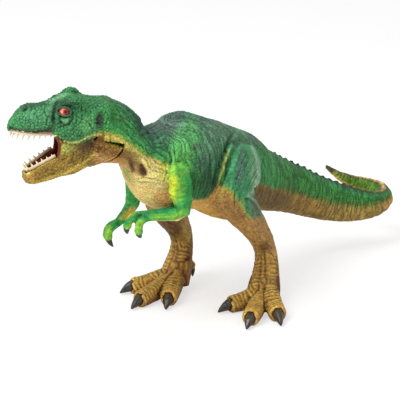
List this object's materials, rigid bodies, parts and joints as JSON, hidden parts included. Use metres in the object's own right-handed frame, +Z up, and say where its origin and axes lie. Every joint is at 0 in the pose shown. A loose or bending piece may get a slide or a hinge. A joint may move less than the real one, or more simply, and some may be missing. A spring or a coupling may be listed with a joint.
{
  "type": "toy dinosaur figure",
  "caption": "Two-legged hunting dinosaur figure in painted soft plastic, striding with its mouth open and its tail curled, with a hinged lower jaw.",
  "frame": {"origin": "on the floor, at the middle of the figure's box", "axes": "+X towards the snout along the length, +Y to the animal's left, +Z up"},
  "size_m": [0.2008, 0.0744, 0.1032],
  "materials": {
    "body_skin": "painted soft plastic, satin, pale dry-brushed back",
    "tail_skin": "painted soft plastic, satin, green above fading to ochre below",
    "head_skin": "painted soft plastic, satin, dark wash in the wrinkles",
    "jaw_skin": "painted soft plastic, satin, brown wash",
    "leg_skin": "painted soft plastic, satin, green thigh fading to an ochre foot",
    "arm_skin": "painted soft plastic, satin",
    "claw": "gloss black",
    "eye": "gloss, slit pupil",
    "mouth": "satin",
    "tongue": "satin",
    "tooth": "satin",
    "pin": "plain moulded"
  },
  "bodies": {
    "figure": {"torso": "body_skin", "tail": "tail_skin", "head_and_neck": "head_skin", "palate": "mouth", "upper_teeth": "tooth", "left_eye": "eye", "right_eye": "eye", "jaw_pin": "pin", "left_leg": "leg_skin", "left_inner_toe_claw": "claw", "left_middle_toe_claw": "claw", "left_outer_toe_claw": "claw", "left_rear_toe_claw": "claw", "right_leg": "leg_skin", "right_inner_toe_claw": "claw", "right_middle_toe_claw": "claw", "right_outer_toe_claw": "claw", "right_rear_toe_claw": "claw", "left_arm": "arm_skin", "left_inner_finger_claw": "claw", "left_outer_finger_claw": "claw", "right_arm": "arm_skin", "right_inner_finger_claw": "claw", "right_outer_finger_claw": "claw"},
    "jaw": {"lower_jaw": "jaw_skin", "lower_teeth": "tooth", "tongue": "tongue"}
  },
  "joints": [
    {"name": "jaw_hinge", "type": "hinge", "parent": "figure", "child": "jaw", "pos_m": [0.07303, 0.0054, 0.08794], "axis": [0.2588, 0.9659, 0], "range_deg": [-22, 4]}
  ]
}
